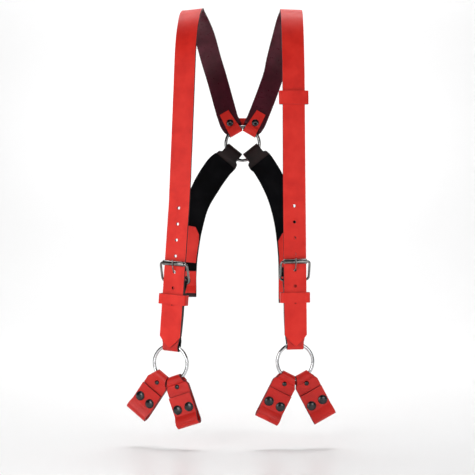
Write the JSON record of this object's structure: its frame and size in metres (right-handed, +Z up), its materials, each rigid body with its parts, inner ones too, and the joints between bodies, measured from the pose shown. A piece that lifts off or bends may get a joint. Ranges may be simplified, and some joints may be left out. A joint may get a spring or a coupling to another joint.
{
  "type": "suspenders",
  "caption": "Leather suspenders with buckled shoulder straps, a back ring, curved rear straps and snap-closed belt loop tabs on front rings",
  "frame": {"origin": "midway between the two shoulder crowns, on the underside of the straps", "axes": "+Z up, the front faces -Y, +X to the right as seen from the front; left and right in the names are as seen from the front"},
  "size_m": [0.3305, 0.2273, 0.6704],
  "materials": {
    "red_leather": "smooth satin vegetable-tanned leather",
    "black_lining": "matte",
    "chrome_rings": "polished",
    "dark_nickel": "polished dark nickel",
    "black_enamel": "gloss"
  },
  "bodies": {
    "harness": {"back_yoke": "red_leather", "left_back_rivet": "black_enamel", "left_chape": "red_leather", "left_shoulder_strap": "red_leather", "right_back_rivet": "black_enamel", "right_chape": "red_leather", "right_shoulder_strap": "red_leather"},
    "back_ring": {"back_ring": "chrome_rings"},
    "left_buckle": {"left_buckle_frame": "dark_nickel"},
    "left_buckle_keeper": {"left_buckle_keeper": "red_leather"},
    "left_prong": {"left_buckle_prong": "dark_nickel"},
    "left_roller": {"left_buckle_roller": "dark_nickel"},
    "left_front_ring": {"left_front_ring": "chrome_rings"},
    "left_inner_tab": {"left_inner_tab": "red_leather", "left_inner_tab_left_stud": "black_enamel", "left_inner_tab_right_stud": "black_enamel", "left_inner_tab_rivet": "black_enamel"},
    "left_inner_tab_flap": {"left_inner_tab_flap": "red_leather", "left_inner_tab_left_cap": "black_enamel", "left_inner_tab_right_cap": "black_enamel"},
    "left_outer_tab": {"left_outer_tab": "red_leather", "left_outer_tab_left_stud": "black_enamel", "left_outer_tab_right_stud": "black_enamel", "left_outer_tab_rivet": "black_enamel"},
    "left_outer_tab_flap": {"left_outer_tab_flap": "red_leather", "left_outer_tab_left_cap": "black_enamel", "left_outer_tab_right_cap": "black_enamel"},
    "left_rear_flap": {"left_rear_flap": "red_leather", "left_rear_snap_cap": "black_enamel"},
    "left_rear_strap": {"left_rear_lining": "black_lining", "left_rear_patch": "red_leather", "left_rear_snap_stud": "black_enamel", "left_rear_strap": "red_leather"},
    "right_buckle": {"right_buckle_frame": "dark_nickel"},
    "right_buckle_keeper": {"right_buckle_keeper": "red_leather"},
    "right_prong": {"right_buckle_prong": "dark_nickel"},
    "right_roller": {"right_buckle_roller": "dark_nickel"},
    "right_front_ring": {"right_front_ring": "chrome_rings"},
    "right_inner_tab": {"right_inner_tab": "red_leather", "right_inner_tab_left_stud": "black_enamel", "right_inner_tab_right_stud": "black_enamel", "right_inner_tab_rivet": "black_enamel"},
    "right_inner_tab_flap": {"right_inner_tab_flap": "red_leather", "right_inner_tab_left_cap": "black_enamel", "right_inner_tab_right_cap": "black_enamel"},
    "right_outer_tab": {"right_outer_tab": "red_leather", "right_outer_tab_left_stud": "black_enamel", "right_outer_tab_right_stud": "black_enamel", "right_outer_tab_rivet": "black_enamel"},
    "right_outer_tab_flap": {"right_outer_tab_flap": "red_leather", "right_outer_tab_left_cap": "black_enamel", "right_outer_tab_right_cap": "black_enamel"},
    "right_rear_flap": {"right_rear_flap": "red_leather", "right_rear_snap_cap": "black_enamel"},
    "right_rear_strap": {"right_rear_lining": "black_lining", "right_rear_patch": "red_leather", "right_rear_snap_stud": "black_enamel", "right_rear_strap": "red_leather"},
    "right_shoulder_keeper": {"right_shoulder_keeper": "red_leather"}
  },
  "joints": [
    {"name": "back_ring_spin", "type": "hinge", "parent": "harness", "child": "back_ring", "pos_m": [0.0088, 0.1, -0.205], "axis": [0, 1, 0], "continuous": true},
    {"name": "left_rear_strap_swing", "type": "hinge", "parent": "harness", "child": "left_rear_strap", "pos_m": [-0.01002, 0.1, -0.22209], "axis": [0.7804, 0, -0.6252], "range_deg": [-12, 12]},
    {"name": "left_rear_flap_open", "type": "hinge", "parent": "left_rear_strap", "child": "left_rear_flap", "pos_m": [-0.08817, 0.09242, -0.46071], "axis": [0.9999, -0.0161, -0.0002], "range_deg": [0, 90]},
    {"name": "left_buckle_lift", "type": "hinge", "parent": "harness", "child": "left_buckle", "pos_m": [-0.0965, -0.09322, -0.43506], "axis": [0.9246, -0.3736, -0.075], "range_deg": [0, 4]},
    {"name": "left_roller_spin", "type": "hinge", "parent": "left_buckle", "child": "left_roller", "pos_m": [-0.09922, -0.10576, -0.40614], "axis": [0.9246, -0.3736, -0.075], "continuous": true},
    {"name": "left_prong_lift", "type": "hinge", "parent": "left_buckle", "child": "left_prong", "pos_m": [-0.0965, -0.09322, -0.43506], "axis": [0.9246, -0.3736, -0.075], "range_deg": [0, 4]},
    {"name": "left_buckle_keeper_slide", "type": "slide", "parent": "harness", "child": "left_buckle_keeper", "axis": [0.0695, -0.0281, 0.9972], "range_m": [-0.035, 0.002]},
    {"name": "left_front_ring_swing", "type": "hinge", "parent": "harness", "child": "left_front_ring", "pos_m": [-0.10303, -0.08896, -0.5368], "axis": [0.9246, -0.3736, -0.075], "range_deg": [-35, 35]},
    {"name": "left_outer_tab_swing", "type": "hinge", "parent": "left_front_ring", "child": "left_outer_tab", "pos_m": [-0.11998, -0.08211, -0.58557], "axis": [0.7473, -0.3019, -0.5919], "range_deg": [-18, 10]},
    {"name": "left_outer_tab_flap_open", "type": "hinge", "parent": "left_outer_tab", "child": "left_outer_tab_flap", "pos_m": [-0.15918, -0.07251, -0.63995], "axis": [0.7473, -0.3019, -0.5919], "range_deg": [0, 95]},
    {"name": "left_inner_tab_swing", "type": "hinge", "parent": "left_front_ring", "child": "left_inner_tab", "pos_m": [-0.09671, -0.09152, -0.58946], "axis": [0.8783, -0.3548, 0.3205], "range_deg": [-18, 10]},
    {"name": "left_inner_tab_flap_open", "type": "hinge", "parent": "left_inner_tab", "child": "left_inner_tab_flap", "pos_m": [-0.07882, -0.10498, -0.65337], "axis": [0.8783, -0.3548, 0.3205], "range_deg": [0, 95]},
    {"name": "right_rear_strap_swing", "type": "hinge", "parent": "harness", "child": "right_rear_strap", "pos_m": [0.02762, 0.1, -0.22209], "axis": [0.7804, 0, 0.6252], "range_deg": [-12, 12]},
    {"name": "right_rear_flap_open", "type": "hinge", "parent": "right_rear_strap", "child": "right_rear_flap", "pos_m": [0.08817, 0.09234, -0.47071], "axis": [0.9999, 0.0161, 0.0002], "range_deg": [0, 90]},
    {"name": "right_buckle_lift", "type": "hinge", "parent": "harness", "child": "right_buckle", "pos_m": [0.08873, -0.09319, -0.432], "axis": [0.9902, 0.1392, 0.0122], "range_deg": [0, 4]},
    {"name": "right_roller_spin", "type": "hinge", "parent": "right_buckle", "child": "right_roller", "pos_m": [0.09014, -0.10577, -0.403], "axis": [0.9902, 0.1392, 0.0122], "continuous": true},
    {"name": "right_prong_lift", "type": "hinge", "parent": "right_buckle", "child": "right_prong", "pos_m": [0.08873, -0.09319, -0.432], "axis": [0.9902, 0.1392, 0.0122], "range_deg": [0, 4]},
    {"name": "right_buckle_keeper_slide", "type": "slide", "parent": "harness", "child": "right_buckle_keeper", "axis": [-0.0121, -0.0017, 0.9999], "range_m": [-0.035, 0.002]},
    {"name": "right_front_ring_swing", "type": "hinge", "parent": "harness", "child": "right_front_ring", "pos_m": [0.08976, -0.09153, -0.53403], "axis": [0.9902, 0.1392, 0.0122], "range_deg": [-35, 35]},
    {"name": "right_outer_tab_swing", "type": "hinge", "parent": "right_front_ring", "child": "right_outer_tab", "pos_m": [0.10295, -0.08968, -0.58494], "axis": [0.8728, 0.1227, 0.4725], "range_deg": [-18, 10]},
    {"name": "right_outer_tab_flap_open", "type": "hinge", "parent": "right_outer_tab", "child": "right_outer_tab_flap", "pos_m": [0.13533, -0.09097, -0.6444], "axis": [0.8728, 0.1227, 0.4725], "range_deg": [0, 95]},
    {"name": "right_inner_tab_swing", "type": "hinge", "parent": "right_front_ring", "child": "right_inner_tab", "pos_m": [0.0778, -0.09321, -0.58525], "axis": [0.8839, 0.1242, -0.4508], "range_deg": [-18, 10]},
    {"name": "right_inner_tab_flap_open", "type": "hinge", "parent": "right_inner_tab", "child": "right_inner_tab_flap", "pos_m": [0.04848, -0.10318, -0.64548], "axis": [0.8839, 0.1242, -0.4508], "range_deg": [0, 95]},
    {"name": "right_shoulder_keeper_slide", "type": "slide", "parent": "harness", "child": "right_shoulder_keeper", "axis": [-0.0127, -0.0018, 0.9999], "range_m": [-0.05, 0.004]}
  ]
}
